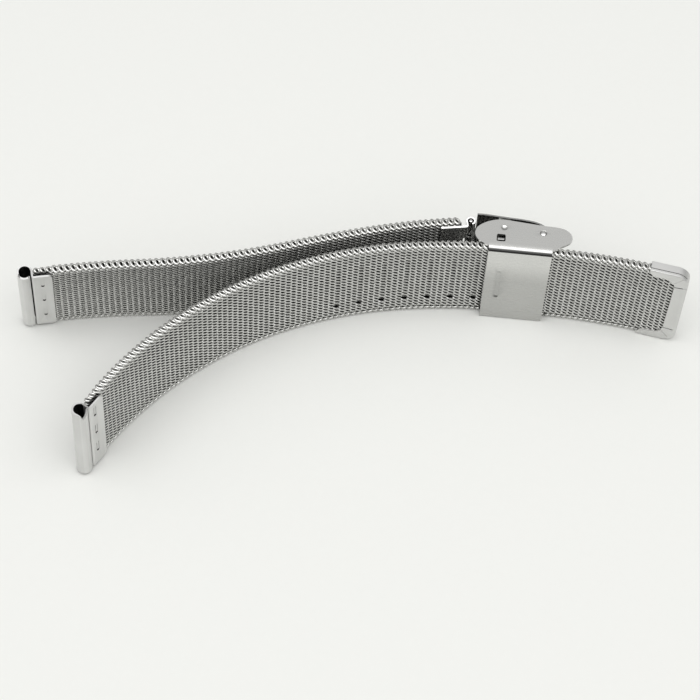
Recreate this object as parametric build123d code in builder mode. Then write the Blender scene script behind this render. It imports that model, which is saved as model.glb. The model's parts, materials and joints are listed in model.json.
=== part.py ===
from build123d import *
import os
from math import cos, radians, sin

os.makedirs("parts", exist_ok=True)

# Milanese mesh band, standing on its edge: X runs along the strap at the clasp, Z is the width.
# The origin is the middle of the long half's lug bore. The near side (-Y) is worn against the skin.
# Millimetres and degrees.

# woven mesh
mesh_width = 18.0
mesh_thickness = 1.8
link_length = 12.6
tail_link_length = 9.7
bend_gap = 0.1
horn_set_back = 0.6

# the coils lie side by side across the mesh: each shows as a rib, with a groove to the next one
coil_pitch = 1.0
coil_groove_depth = 0.32
coil_groove_width = 0.7

# the straight length of mesh inside the clasp, measured from the clasp's middle
clasp_mesh_left = 8.75
clasp_mesh_right = 9.5

# how the two halves lie, from the clasp out: each length's direction, and the short half's lean
long_headings = (8.0, 17.6, 27.8, 39.0, 49.5, 60.3)
tail_turn = 4.5
short_headings = (10.9, 16.8, 19.5, 13.9, 8.6, 13.5)
short_lean_step = 1.7

# adjusting slots across the mesh
slot_pitch = 4.0
slot_first = 2.85
slot_count = 8
slot_width = 0.5
slot_depth = 0.35
slot_length = 11.6
slot_drop = 0.5
slot_eye_radius = 0.36
slot_eye_depth = 1.1

# sheet metal and fits
sheet = 0.4
fold_inner_radius = 0.25
mesh_fit = 0.1
side_fit = 0.15
seat_gap = 0.01
turn_fit = 0.05
overrun = 2.0

# lug ends
lug_plate_length = 4.8
lug_plate_chamfer = 0.5
lug_slit = 0.12
lug_bend_radius = 0.2
lance_count = 3
lance_pitch = 5.2
lance_length = 2.2
lance_width = 0.75
lance_slit = 0.14
lance_eye_length = 0.6
lance_from_plate_end = 1.9

# clasp slide
front_plate_length = 10.7
ear_left = 7.8
ear_left_radius = 2.3
ear_left_level = 2.25
ear_crown = 5.2
ear_crown_radius = 2.5
ear_crown_from_middle = 3.0
ear_right = 8.6
ear_right_radius = 2.16
ear_right_level = 2.45
ear_near = 0.5
window_length = 1.6
window_depth = 1.45
window_from_middle = 3.4
window_near = 0.72
dimple_from_middle = 2.95
dimple_sphere_radius = 0.9
dimple_depth = 0.16
tooth_from_middle = 3.05
tooth_length = 7.2
tooth_width = 0.76
tooth_recess = 0.16
tooth_rise = 0.04

# fold blade and its pivot
pivot_x = 3.67
pivot_y = 3.15
pivot_radius = 0.5
pivot_knuckle_radius = 0.9
blade_ajar = 3.2
blade_thickness = 0.5
blade_reach = 12.35
blade_end_rise = 1.16
blade_plate_rise = 2.4
blade_step_length = 1.6
blade_plate_right = 1.3
blade_side_gap = 0.35
blade_bend_radius = 0.8
blade_lug_width = 2.6
snap_tab_length = 2.0
snap_tab_thickness = 0.4
snap_tab_reach = 2.5

# hinge of the short half
end_pin_radius = 0.4
end_knuckle_radius = 0.8
end_knuckle_half = 4.0
end_knuckle_gap = 1.4
end_plate_length = 5.2
end_plate_set_in = 0.1
end_plate_start = 1.3
short_mesh_start = 1.65

# lock plate
lock_drop = 1.9
lock_left = 8.4
lock_set_in = 0.1
lock_knuckle_gap = 0.3
lock_bend_radius = 0.45
lock_curl_out = 0.62
lock_tab_length = 1.15
lock_tab_set_in = 0.1

# tip cap
cap_length = 6.8
cap_sheet = 0.35
cap_corner_radius = 1.7
cap_flap_height = 1.4
cap_end_flap = 2.1
cap_mitre_slit = 0.14
cap_mitre_share = 0.52

half_width = mesh_width / 2
half_thickness = mesh_thickness / 2
lug_radius = half_thickness + seat_gap + sheet
lug_bore_radius = lug_radius - sheet
ear_inner = half_width + side_fit
ear_outer = ear_inner + sheet
front_inner = half_thickness + mesh_fit
front_outer = front_inner + sheet
blade_half_width = ear_inner - blade_side_gap
blade_lug_inner = blade_half_width - blade_lug_width
end_plate_half_width = blade_half_width - end_plate_set_in
lock_half_width = blade_half_width - lock_set_in
lock_knuckle_half = blade_lug_inner - lock_knuckle_gap


# a plane whose x runs along the strap, whose z is the strap's width and which leans to the near side
def strap_plane(point, heading, lean=0):
    along = Vector(cos(radians(heading)), sin(radians(heading)), 0)
    near = Vector(sin(radians(heading)), -cos(radians(heading)), 0)
    if near.Y > 0:
        near = near * -1
    up = Vector(0, 0, 1) * cos(radians(lean)) + near * sin(radians(lean))
    return Plane(origin=Vector(*point), x_dir=along, z_dir=up)


# the point a length further along a heading
def step(point, heading, length):
    return (
        point[0] + length * cos(radians(heading)),
        point[1] + length * sin(radians(heading)),
        0,
    )


# the clasp's middle, reached from the long half's lug bore at the origin
def clasp_middle():
    point = (clasp_mesh_left, 0, 0)
    for angle in long_headings:
        point = step(point, angle, link_length)
    return point


def at_clasp(x, y, z=0):
    middle = clasp_middle()
    return (middle[0] + x, middle[1] + y, middle[2] + z)


def export(piece, name):
    piece.part.label = name
    export_step(piece.part, f"parts/{name}.step")


# one rigid length of mesh: a round end about its own bend line, a socket about the next one
def mesh_link(name, body, start, length, begin=None, end=None, slots=(), near=1, corner=0):
    ribs = int((length - coil_pitch) / coil_pitch)
    first_groove = start + (length - (ribs - 1) * coil_pitch) / 2
    with BuildPart() as piece:
        with BuildSketch(body):
            with Locations((start, 0)):
                Rectangle(length, mesh_thickness, align=(Align.MIN, Align.CENTER))
        extrude(amount=half_width, both=True)
        if corner:
            across = piece.edges().filter_by(Axis(body.origin, body.y_dir))
            fillet(across.sort_by(Axis(body.origin, body.x_dir))[-2:], radius=corner)
        for line in begin or ():
            with BuildSketch(line):
                Circle(half_thickness)
            extrude(amount=half_width, both=True)
        for line in end or ():
            with BuildSketch(line):
                Circle(half_thickness + bend_gap)
            extrude(amount=half_width + overrun, both=True, mode=Mode.SUBTRACT)
        with BuildSketch(body):
            for n in range(ribs):
                for side in (-1, 1):
                    with BuildLine():
                        middle = first_groove + n * coil_pitch
                        Polyline(
                            (middle - coil_groove_width / 2, side * half_thickness),
                            (middle, side * (half_thickness - coil_groove_depth)),
                            (middle + coil_groove_width / 2, side * half_thickness),
                            close=True,
                        )
                    make_face()
        extrude(amount=half_width + overrun, both=True, mode=Mode.SUBTRACT)
        for place in slots:
            groove = body.offset(slot_length / 2 - slot_drop)
            with BuildSketch(groove):
                with Locations((place, near * half_thickness)):
                    Rectangle(slot_width, 2 * slot_depth)
            extrude(amount=-slot_length, mode=Mode.SUBTRACT)
            eye = Plane(
                origin=body.from_local_coords((place, near * half_thickness, -slot_length / 2 - slot_drop)),
                x_dir=body.x_dir,
                z_dir=body.y_dir * -near,
            )
            with BuildSketch(eye):
                Circle(slot_eye_radius)
            extrude(amount=slot_eye_depth, mode=Mode.SUBTRACT)
    export(piece, name)


# the mesh inside the clasp, with a socket at each end
def clasp_mesh():
    left = strap_plane(at_clasp(-clasp_mesh_left, 0), 180)
    right = strap_plane(at_clasp(clasp_mesh_right, 0), 0)
    places = [-slot_first - slot_pitch * n for n in range(slot_count)]
    mesh_link(
        "mesh_clasp",
        strap_plane(clasp_middle(), 0),
        -clasp_mesh_left + horn_set_back,
        clasp_mesh_left + clasp_mesh_right - 2 * horn_set_back,
        end=(left, right),
        slots=[place for place in places if place > -clasp_mesh_left],
        near=-1,
    )


# the long half from the clasp to its lug, curving to the near side
def long_half():
    point = at_clasp(-clasp_mesh_left, 0)
    before = 0
    passed = clasp_mesh_left
    for n, angle in enumerate(long_headings, 1):
        heading = 180 + angle
        last = n == len(long_headings)
        turn_before = (angle - before) / 2
        turn_after = 0 if last else (long_headings[n] - angle) / 2
        here = strap_plane(point, heading - turn_before)
        body = strap_plane(point, heading)
        beyond = step(point, heading, link_length)
        there = strap_plane(beyond, heading + turn_after)
        length = link_length - (lug_radius + lug_slit if last else horn_set_back)
        places = [slot_first + slot_pitch * k - passed for k in range(slot_count)]
        mesh_link(
            f"mesh_long_{n}",
            body,
            0,
            length,
            begin=(here,),
            end=() if last else (there,),
            slots=[place for place in places if 0 < place < link_length],
        )
        point = beyond
        before = angle
        passed += link_length
    lug_end("lug_end_long", strap_plane(point, heading))


# the short half from its hinge to its lug, leaning a little more at each bend
def short_half():
    point = end_hinge_point()
    for n, angle in enumerate(short_headings, 1):
        heading = 180 + angle
        lean = short_lean_step * (n - 1)
        first = n == 1
        last = n == len(short_headings)
        turn_before = 0 if first else (angle - short_headings[n - 2]) / 2
        turn_after = 0 if last else (short_headings[n] - angle) / 2
        here = strap_plane(point, heading - turn_before, lean)
        beyond = step(point, heading, link_length)
        there = strap_plane(beyond, heading + turn_after, lean + short_lean_step)
        middle = lean if last or first else lean + short_lean_step / 2
        start = short_mesh_start if first else 0
        length = link_length - start - (lug_radius + lug_slit if last else horn_set_back)
        mesh_link(
            f"mesh_short_{n}",
            strap_plane(point, heading, middle),
            start,
            length,
            begin=() if first else (here,),
            end=() if last else (there,),
        )
        point = beyond
        if last:
            lug_end("lug_end_short", strap_plane(point, heading, middle))


# the tail beyond the clasp, with its cap
def tail():
    start = at_clasp(clasp_mesh_right, 0)
    first = strap_plane(start, -tail_turn / 2)
    body_1 = strap_plane(start, -tail_turn)
    middle_point = step(start, -tail_turn, tail_link_length)
    second = strap_plane(middle_point, -1.5 * tail_turn)
    body_2 = strap_plane(middle_point, -2 * tail_turn)
    mesh_link("mesh_tail_1", body_1, 0, tail_link_length - horn_set_back, begin=(first,), end=(second,))
    mesh_length = tail_link_length - cap_sheet - seat_gap
    mesh_corner = cap_corner_radius - cap_sheet - seat_gap
    mesh_link("mesh_tail_2", body_2, 0, mesh_length, begin=(second,), corner=mesh_corner)
    tip_cap(body_2)


# sheet cap over the tail's end: a plate on the far side and three flaps folded to the near side
def tip_cap(body):
    outer_half = half_width + seat_gap + cap_sheet
    outer_half_depth = half_thickness + seat_gap + cap_sheet
    face = Plane(origin=body.origin, x_dir=body.x_dir, z_dir=body.y_dir * -1)
    left = tail_link_length - cap_length
    mitre_x = tail_link_length - cap_end_flap
    mitre_z = outer_half - cap_flap_height
    mitre_end = cap_mitre_share * cap_corner_radius
    with BuildPart() as tip:
        with BuildSketch(face.offset(-outer_half_depth)):
            with Locations((left, 0)):
                Rectangle(cap_length, 2 * outer_half, align=(Align.MIN, Align.CENTER))
        extrude(amount=2 * outer_half_depth)
        ends = tip.edges().filter_by(Axis(body.origin, body.y_dir)).sort_by(Axis(body.origin, body.x_dir))
        fillet(ends[-2:], radius=cap_corner_radius)
        with BuildSketch(face.offset(-half_thickness - seat_gap)):
            with Locations((left - overrun, 0)):
                RectangleRounded(
                    cap_length + overrun - cap_sheet,
                    2 * (half_width + seat_gap),
                    cap_corner_radius - cap_sheet,
                    align=(Align.MIN, Align.CENTER),
                )
        extrude(amount=2 * (half_thickness + seat_gap), mode=Mode.SUBTRACT)
        with BuildSketch(face.offset(half_thickness + seat_gap)):
            with Locations((left - overrun, 0)):
                Rectangle(mitre_x - left + overrun, 2 * mitre_z, align=(Align.MIN, Align.CENTER))
            for side in (-1, 1):
                with BuildLine():
                    Line(
                        (mitre_x - cap_mitre_slit, side * (mitre_z - cap_mitre_slit)),
                        (tail_link_length - mitre_end, side * (outer_half - mitre_end)),
                    )
                trace(line_width=cap_mitre_slit)
        extrude(amount=overrun, mode=Mode.SUBTRACT)
    export(tip, "tip_cap")


# a sheet lanced to the mesh's near face, then rolled round the far side into a tube for the spring bar
def lug_end(name, tube):
    near = -1 if tube.y_dir.Y > 0 else 1
    inner = half_thickness + seat_gap
    lance_x = -lug_plate_length + lance_from_plate_end
    lance_plane = Plane(
        origin=tube.from_local_coords((0, near * inner, 0)),
        x_dir=tube.x_dir,
        z_dir=tube.y_dir * near,
    )
    up = lance_plane.y_dir.Z / abs(lance_plane.y_dir.Z)
    with BuildPart() as lug:
        with BuildSketch(tube):
            Circle(lug_radius)
            with BuildLine():
                FilletPolyline(
                    (-lug_plate_length, near * (inner + sheet / 2)),
                    (-lug_bore_radius - sheet / 2, near * (inner + sheet / 2)),
                    (-lug_bore_radius - sheet / 2, 0),
                    radius=lug_bend_radius,
                )
            trace(line_width=sheet)
            Circle(lug_bore_radius, mode=Mode.SUBTRACT)
            with Locations((-lug_bore_radius, 0)):
                Rectangle(
                    lug_slit,
                    lug_radius + overrun,
                    align=(Align.MIN, Align.MIN if near > 0 else Align.MAX),
                    mode=Mode.SUBTRACT,
                )
        extrude(amount=half_width, both=True)
        corners = lug.edges().filter_by(Axis(tube.origin, tube.y_dir)).sort_by(Axis(tube.origin, tube.x_dir))
        chamfer(corners[:2], length=lug_plate_chamfer)
        with BuildSketch(lance_plane):
            for n in range(lance_count):
                height = up * lance_pitch * (n - (lance_count - 1) / 2)
                with Locations((lance_x, height - up * (lance_length - lance_eye_length) / 2)):
                    Rectangle(lance_width, lance_eye_length)
                for side in (-1, 1):
                    with Locations((lance_x + side * (lance_width - lance_slit) / 2, height)):
                        Rectangle(lance_slit, lance_length)
        extrude(amount=sheet + overrun, mode=Mode.SUBTRACT)
    export(lug, name)


# U-shaped slide: front plate with its tooth bar, and an oval ear over each edge of the mesh
def slide_body():
    top = Plane(origin=clasp_middle(), x_dir=(1, 0, 0), z_dir=(0, 0, 1))
    front = Plane(origin=clasp_middle(), x_dir=(1, 0, 0), z_dir=(0, -1, 0))
    side = Plane(origin=clasp_middle(), x_dir=(0, 1, 0), z_dir=(1, 0, 0))
    with BuildPart() as slide:
        with BuildSketch(side.offset(-front_plate_length / 2)):
            with BuildLine():
                FilletPolyline(
                    (ear_near, ear_inner + sheet / 2),
                    (-front_inner - sheet / 2, ear_inner + sheet / 2),
                    (-front_inner - sheet / 2, -ear_inner - sheet / 2),
                    (ear_near, -ear_inner - sheet / 2),
                    radius=fold_inner_radius + sheet / 2,
                )
            trace(line_width=sheet)
        extrude(amount=front_plate_length)
        for level in (ear_inner, -ear_outer):
            with BuildSketch(top.offset(level)):
                with Locations((-ear_left + ear_left_radius, ear_left_level)):
                    Circle(ear_left_radius)
                with Locations((-ear_crown_from_middle, ear_crown - ear_crown_radius)):
                    Circle(ear_crown_radius)
                with Locations((ear_right - ear_right_radius, ear_right_level)):
                    Circle(ear_right_radius)
                make_hull()
                with Locations((0, -ear_near)):
                    Rectangle(front_plate_length, ear_left_level, align=(Align.CENTER, Align.MIN))
                with Locations((-window_from_middle, window_near + window_depth / 2)):
                    Rectangle(window_length, window_depth, mode=Mode.SUBTRACT)
                with Locations((pivot_x, pivot_y)):
                    Circle(pivot_radius + seat_gap, mode=Mode.SUBTRACT)
            extrude(amount=sheet)
        lift = ear_outer + dimple_sphere_radius - dimple_depth
        with Locations(
            at_clasp(-dimple_from_middle, pivot_y, lift),
            at_clasp(-dimple_from_middle, pivot_y, -lift),
        ):
            Sphere(dimple_sphere_radius, mode=Mode.SUBTRACT)
        with BuildSketch(front.offset(front_outer)):
            with Locations((-tooth_from_middle, 0)):
                SlotOverall(tooth_length, tooth_width, rotation=90)
        extrude(amount=-tooth_recess, mode=Mode.SUBTRACT)
        with BuildSketch(front.offset(front_inner)):
            with Locations((-tooth_from_middle, 0)):
                SlotOverall(tooth_length, tooth_width, rotation=90)
        extrude(amount=-tooth_rise)
    export(slide, "slide_body")


def blade_pivot_pin():
    with BuildPart() as pin:
        with BuildSketch(strap_plane(at_clasp(pivot_x, pivot_y), 0)):
            Circle(pivot_radius)
        extrude(amount=ear_outer, both=True)
    export(pin, "blade_pivot_pin")


# the blade's own plane: its origin is the pivot, and it stands ajar
def blade_plane():
    return strap_plane(at_clasp(pivot_x, pivot_y), -blade_ajar)


def end_hinge_point():
    point = blade_plane().from_local_coords((-blade_reach, blade_end_rise, 0))
    return (point.X, point.Y, 0)


# bowed cover plate with side lugs on the pivot and one knuckle in the middle of its free end
def fold_blade():
    base = blade_plane()
    end = (-blade_reach, blade_end_rise)
    hold = end_knuckle_radius - blade_thickness / 2
    with BuildPart() as blade:
        with BuildSketch(base):
            with BuildLine():
                FilletPolyline(
                    (end[0] + hold / 2, end[1] + hold),
                    (blade_step_length - blade_reach, blade_plate_rise),
                    (-blade_plate_right, blade_plate_rise),
                    (pivot_knuckle_radius - blade_thickness, pivot_radius),
                    radius=blade_bend_radius,
                )
            trace(line_width=blade_thickness)
            with Locations(end):
                Circle(end_knuckle_radius)
            Circle(pivot_knuckle_radius)
        extrude(amount=blade_half_width, both=True)
        for level in (end_knuckle_half, -blade_half_width - overrun):
            with BuildSketch(base.offset(level)):
                with Locations(end):
                    Circle(end_knuckle_radius + side_fit)
            extrude(amount=blade_half_width + overrun - end_knuckle_half, mode=Mode.SUBTRACT)
        with BuildSketch(base):
            with Locations((-blade_plate_right, blade_plate_rise - blade_thickness)):
                Rectangle(2 * overrun, 2 * overrun, align=(Align.MIN, Align.MAX))
        extrude(amount=blade_lug_inner, both=True, mode=Mode.SUBTRACT)
        with BuildSketch(base):
            with Locations(end):
                Circle(end_pin_radius + seat_gap)
            Circle(pivot_radius + turn_fit)
        extrude(amount=blade_half_width + overrun, both=True, mode=Mode.SUBTRACT)
        snap_x = -pivot_x - dimple_from_middle
        for level in (blade_half_width - snap_tab_thickness, -blade_half_width):
            with BuildSketch(base.offset(level)):
                with Locations((snap_x, blade_plate_rise)):
                    Rectangle(snap_tab_length, snap_tab_reach, align=(Align.CENTER, Align.MAX))
            extrude(amount=snap_tab_thickness)
    export(blade, "fold_blade")


def end_hinge_pin():
    with BuildPart() as pin:
        with BuildSketch(strap_plane(end_hinge_point(), 180)):
            Circle(end_pin_radius)
        extrude(amount=blade_half_width, both=True)
    export(pin, "end_hinge_pin")


# plate on the near face of the short half's mesh, rolled round the hinge pin at both ends of its width
def clasp_end_plate():
    base = strap_plane(end_hinge_point(), 180 + short_headings[0])
    inner = half_thickness + seat_gap
    with BuildPart() as plate:
        with BuildSketch(base):
            with Locations((end_plate_start, inner)):
                Rectangle(end_plate_length - end_plate_start, sheet, align=(Align.MIN, Align.MIN))
        extrude(amount=end_plate_half_width, both=True)
        knuckle_start = end_knuckle_half + end_knuckle_gap
        for level in (knuckle_start, -end_plate_half_width):
            with BuildSketch(base.offset(level)):
                with BuildLine():
                    FilletPolyline(
                        (end_knuckle_radius - sheet / 2, 0),
                        (end_knuckle_radius - sheet / 2, inner + sheet / 2),
                        (end_plate_start + sheet, inner + sheet / 2),
                        radius=fold_inner_radius,
                    )
                trace(line_width=sheet)
                Circle(end_knuckle_radius)
                Circle(end_pin_radius + turn_fit, mode=Mode.SUBTRACT)
            extrude(amount=end_plate_half_width - knuckle_start)
    export(plate, "clasp_end_plate")


# flat plate behind the mesh: a tab into each ear's window, a rolled knuckle on the blade's pivot
def lock_plate():
    base = strap_plane(at_clasp(pivot_x, pivot_y), 0)
    tab_x = -pivot_x - window_from_middle
    tab_half = ear_outer - lock_tab_set_in
    with BuildPart() as lock:
        with BuildSketch(base):
            with BuildLine():
                FilletPolyline(
                    (-lock_left, -lock_drop),
                    (lock_curl_out, -lock_drop),
                    (lock_curl_out, 0),
                    radius=lock_bend_radius,
                )
            trace(line_width=sheet)
            Circle(pivot_knuckle_radius)
            Circle(pivot_radius + turn_fit, mode=Mode.SUBTRACT)
        extrude(amount=lock_knuckle_half, both=True)
        with BuildSketch(base):
            with Locations((-lock_left, -lock_drop)):
                Rectangle(lock_left - blade_plate_right, sheet, align=(Align.MIN, Align.CENTER))
        extrude(amount=lock_half_width, both=True)
        with BuildSketch(base):
            with Locations((tab_x, -lock_drop)):
                Rectangle(lock_tab_length, sheet)
        extrude(amount=tab_half, both=True)
    export(lock, "lock_plate")


clasp_mesh()
long_half()
short_half()
tail()
slide_body()
blade_pivot_pin()
fold_blade()
end_hinge_pin()
clasp_end_plate()
lock_plate()
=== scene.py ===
import json
from math import atan2, cos, hypot, pi, radians, sin

import bmesh
import bpy
import numpy as np
from mathutils import Matrix, Vector


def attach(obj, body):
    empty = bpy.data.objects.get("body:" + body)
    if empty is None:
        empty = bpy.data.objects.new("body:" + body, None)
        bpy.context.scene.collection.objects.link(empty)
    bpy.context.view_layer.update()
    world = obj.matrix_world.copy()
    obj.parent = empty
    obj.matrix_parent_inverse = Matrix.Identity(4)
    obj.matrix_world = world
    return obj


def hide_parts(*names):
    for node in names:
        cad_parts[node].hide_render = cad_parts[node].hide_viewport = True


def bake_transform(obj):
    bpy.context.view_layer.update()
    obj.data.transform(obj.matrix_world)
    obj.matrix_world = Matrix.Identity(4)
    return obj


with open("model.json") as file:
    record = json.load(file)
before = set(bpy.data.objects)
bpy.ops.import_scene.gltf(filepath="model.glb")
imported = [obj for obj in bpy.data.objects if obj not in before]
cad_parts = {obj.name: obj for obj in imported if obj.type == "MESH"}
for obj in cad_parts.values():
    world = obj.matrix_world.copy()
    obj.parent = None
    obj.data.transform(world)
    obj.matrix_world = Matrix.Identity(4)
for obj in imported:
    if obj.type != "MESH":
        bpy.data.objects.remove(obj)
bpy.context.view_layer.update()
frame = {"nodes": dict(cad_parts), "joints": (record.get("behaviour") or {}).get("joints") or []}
mm = 0.001
tiny = 1e-6
joints = {joint["name"]: joint for joint in frame["joints"]}
print("frame loaded:", len(frame["nodes"]), "nodes")


def addObject(name, data):
    made = bpy.data.objects.new(name, data)
    bpy.context.scene.collection.objects.link(made)
    return made


def placeMatrix(first, second, third, middle):
    # a frame from its three directions and its middle
    rows = [[first[i], second[i], third[i], middle[i]] for i in range(3)]
    return Matrix(rows + [[0, 0, 0, 1]])


# the camera: its place and lens in mm, its turns in degrees
cameraLook = {
    "place": (47.750, -203.785, 341.462),
    "azimuth": -1.5211,
    "elevation": 56.5,
    "roll": 4.2290,
    "lens": 126.0,
    "film": 36.0,
    "nearest": 0.01,  # in metres, as the next
    "farthest": 20.0,
}


def makeCamera(look):
    turn, tilt, roll = [radians(look[name]) for name in ("azimuth", "elevation", "roll")]
    ahead = Vector((sin(turn) * cos(tilt), cos(turn) * cos(tilt), -sin(tilt)))
    right = Vector((cos(turn), -sin(turn), 0))
    up = right.cross(ahead)
    across = right * cos(roll) + up * sin(roll)
    above = up * cos(roll) - right * sin(roll)
    camera = addObject("camera", bpy.data.cameras.new("camera"))
    camera.data.lens = look["lens"]
    camera.data.sensor_width = look["film"]
    camera.data.clip_start = look["nearest"]
    camera.data.clip_end = look["farthest"]
    camera.matrix_world = placeMatrix(across, above, -ahead, [c * mm for c in look["place"]])
    bpy.context.scene.camera = camera


makeCamera(cameraLook)
print("camera set")


# nodes for the finishes and the world
def addNode(tree, kind, **settings):
    node = tree.nodes.new(kind)
    for name, value in settings.items():
        if name in node.inputs:
            node.inputs[name].default_value = value
        else:
            setattr(node, name, value)
    return node


def rampNode(tree, source, start, end, low=0.0, high=1.0, kind="LINEAR"):
    # a number read on another scale: start and end become low and high
    ramp = addNode(tree, "ShaderNodeMapRange", interpolation_type=kind)
    for name, number in (("From Min", start), ("From Max", end), ("To Min", low), ("To Max", high)):
        ramp.inputs[name].default_value = number
    tree.links.new(source, ramp.inputs["Value"])
    return ramp.outputs["Result"]


def mixNode(tree, share, first, second):
    # a colour between two, each plain or another node's
    mix = addNode(tree, "ShaderNodeMix", data_type="RGBA")
    tree.links.new(share, mix.inputs["Factor"])
    for name, colour in (("A", first), ("B", second)):
        if isinstance(colour, tuple):
            mix.inputs[name].default_value = (*colour, 1)
        else:
            tree.links.new(colour, mix.inputs[name])
    return mix.outputs["Result"]


def mathNode(tree, operation, first, second):
    node = addNode(tree, "ShaderNodeMath", operation=operation)
    tree.links.new(first, node.inputs[0])
    tree.links.new(second, node.inputs[1])
    return node.outputs[0]


def newMaterial(name):
    material = bpy.data.materials.new(name)
    material.use_nodes = True
    return material, material.node_tree, material.node_tree.nodes["Principled BSDF"]


# what the steels share, where their own settings don't say otherwise
anySteel = {
    "grainDetail": 3.0,
    "grainRough": 0.6,
    "cloud": 160.0,  # how fine the drift of colour is
    "cloudDetail": 2.0,
    "cloudRough": 0.5,
    "noise": (0.3, 0.7),  # the noise's values that count as lowest and highest
    "edge": (0.52, 0.62),  # the sharpness where the painted highlight starts and is full
    "edgeSamples": 6,
}


def steelFinish(name, settings):
    look = {**anySteel, **settings}
    material, tree, shader = newMaterial(name)
    link = tree.links.new
    shader.inputs["Metallic"].default_value = 1.0
    where = addNode(tree, "ShaderNodeTexCoord").outputs["Object"]
    stretch = addNode(tree, "ShaderNodeMapping", Scale=look["grain"])
    link(where, stretch.inputs["Vector"])
    grain = addNode(tree, "ShaderNodeTexNoise", Scale=1.0, Detail=look["grainDetail"],
                    Roughness=look["grainRough"])
    link(stretch.outputs["Vector"], grain.inputs["Vector"])
    cloud = addNode(tree, "ShaderNodeTexNoise", Scale=look["cloud"], Detail=look["cloudDetail"],
                    Roughness=look["cloudRough"])
    link(where, cloud.inputs["Vector"])
    # colour: a slow drift, with a painted highlight on sharp edges and crowns
    drift = rampNode(tree, cloud.outputs["Fac"], *look["noise"])
    colour = mixNode(tree, drift, look["dark"], look["light"])
    sharpness = addNode(tree, "ShaderNodeNewGeometry").outputs["Pointiness"]
    edgeGlint = rampNode(tree, sharpness, *look["edge"], high=look["edgeGlint"])
    colour = mixNode(tree, edgeGlint, colour, look["glintColour"])
    if "paintedShade" in look:
        # painted shade where a wire lies deep in the weave
        crown = addNode(tree, "ShaderNodeAttribute", attribute_name="crown")
        colour = mixNode(tree, crown.outputs["Fac"], look["paintedShade"], colour)
    if "band" in look:
        # painted shade, darker toward the foot, and a painted dark reflection in a band along the bend
        split = addNode(tree, "ShaderNodeSeparateXYZ")
        link(where, split.inputs["Vector"])
        shades = []
        for axis, *limits in look["band"]:
            shades.append(rampNode(tree, split.outputs[axis], *limits, "SMOOTHSTEP"))
        bright = mathNode(tree, "MAXIMUM", mathNode(tree, "MAXIMUM", shades[0], shades[1]), shades[2])
        scaled = addNode(tree, "ShaderNodeVectorMath", operation="SCALE")
        link(colour, scaled.inputs[0])
        link(mathNode(tree, "MULTIPLY", bright, shades[3]), scaled.inputs["Scale"])
        colour = scaled.outputs[0]
    link(colour, shader.inputs["Base Color"])
    # roughness from the grain
    rough, spread = look["rough"], look["roughSpread"]
    roughness = rampNode(tree, grain.outputs["Fac"], *look["noise"], rough - spread, rough + spread)
    link(roughness, shader.inputs["Roughness"])
    # fine relief, and where asked the sharp edges just broken
    relief = addNode(tree, "ShaderNodeBump", Strength=look["relief"], Distance=look["reliefDepth"])
    link(grain.outputs["Fac"], relief.inputs["Height"])
    if "brokenEdge" in look:
        edge = addNode(tree, "ShaderNodeBevel", samples=look["edgeSamples"], Radius=look["brokenEdge"])
        link(edge.outputs["Normal"], relief.inputs["Normal"])
    link(relief.outputs["Normal"], shader.inputs["Normal"])
    return material


wireSteel = steelFinish("wireSteel", {
    "dark": (0.64, 0.64, 0.62), "light": (0.78, 0.78, 0.76), "glintColour": (0.92, 0.92, 0.90), "edgeGlint": 0.35,
    "paintedShade": (0.030, 0.030, 0.028),
    "grain": (9000, 9000, 9000), "cloud": 700.0, "rough": 0.24, "roughSpread": 0.06,
    "relief": 0.2, "reliefDepth": 0.00001,
})
satinSteel = steelFinish("satinSteel", {
    "dark": (0.63, 0.63, 0.615), "light": (0.66, 0.66, 0.645), "glintColour": (0.82, 0.82, 0.80), "edgeGlint": 0.5,
    "grain": (300, 4000, 30000), "rough": 0.27, "roughSpread": 0.02,
    "relief": 0.012, "reliefDepth": 0.000004,
    # painted shade and painted reflection: along Z, the width, or Y, the depth: where each starts and ends,
    # and its shade at both
    "band": (("Z", 0.00887, 0.00896, 1.0, 0.0), ("Z", 0.00931, 0.00943, 0.08, 1.0),
             ("Y", 0.0394, 0.0397, 0.0, 1.0), ("Z", 0.0005, 0.0068, 0.68, 0.93)),
})
clothSteel = steelFinish("endSteel", {
    "dark": (0.67, 0.67, 0.66), "light": (0.72, 0.72, 0.71), "glintColour": (0.82, 0.82, 0.81), "edgeGlint": 0.4,
    "grain": (16000, 16000, 16000), "rough": 0.52, "roughSpread": 0.06,
    "relief": 0.2, "reliefDepth": 0.000008,
})
pinSteel = steelFinish("pinSteel", {
    "dark": (0.66, 0.66, 0.65), "light": (0.74, 0.74, 0.73), "glintColour": (0.85, 0.85, 0.84), "edgeGlint": 0.4,
    "grain": (6000, 6000, 6000), "rough": 0.16, "roughSpread": 0.04,
    "relief": 0.03, "reliefDepth": 0.000004, "brokenEdge": 0.00006,
})
# the same steel made darker: painted shade for the blade and lock plate inside the clasp
shadedSteel = steelFinish("shadedSteel", {
    "dark": (0.36, 0.36, 0.35), "light": (0.40, 0.40, 0.39), "glintColour": (0.80, 0.80, 0.79), "edgeGlint": 0.5,
    "grain": (2500, 2500, 6000), "rough": 0.16, "roughSpread": 0.02,
    "relief": 0.02, "reliefDepth": 0.000003,
})
# a near-black finish: painted shade for the weave's inside and for hollows
paintedShadeSteel = steelFinish("paintedShadeSteel", {
    "dark": (0.02, 0.02, 0.02), "light": (0.045, 0.045, 0.04), "glintColour": (0.05, 0.05, 0.05), "edgeGlint": 0.1,
    "grain": (9000, 9000, 9000), "rough": 0.6, "roughSpread": 0.1,
    "relief": 0.3, "reliefDepth": 0.00002,
})
print("finishes made")


# meshes from plain points and faces
def newPiece(name, points, faces, material, smooth=True):
    mesh = bpy.data.meshes.new(name)
    mesh.from_pydata([tuple(p) for p in points], [], [tuple(f) for f in faces])
    mesh.polygons.foreach_set("use_smooth", [smooth] * len(mesh.polygons))
    mesh.materials.append(material)
    mesh.update()
    return addObject(name, mesh)


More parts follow.
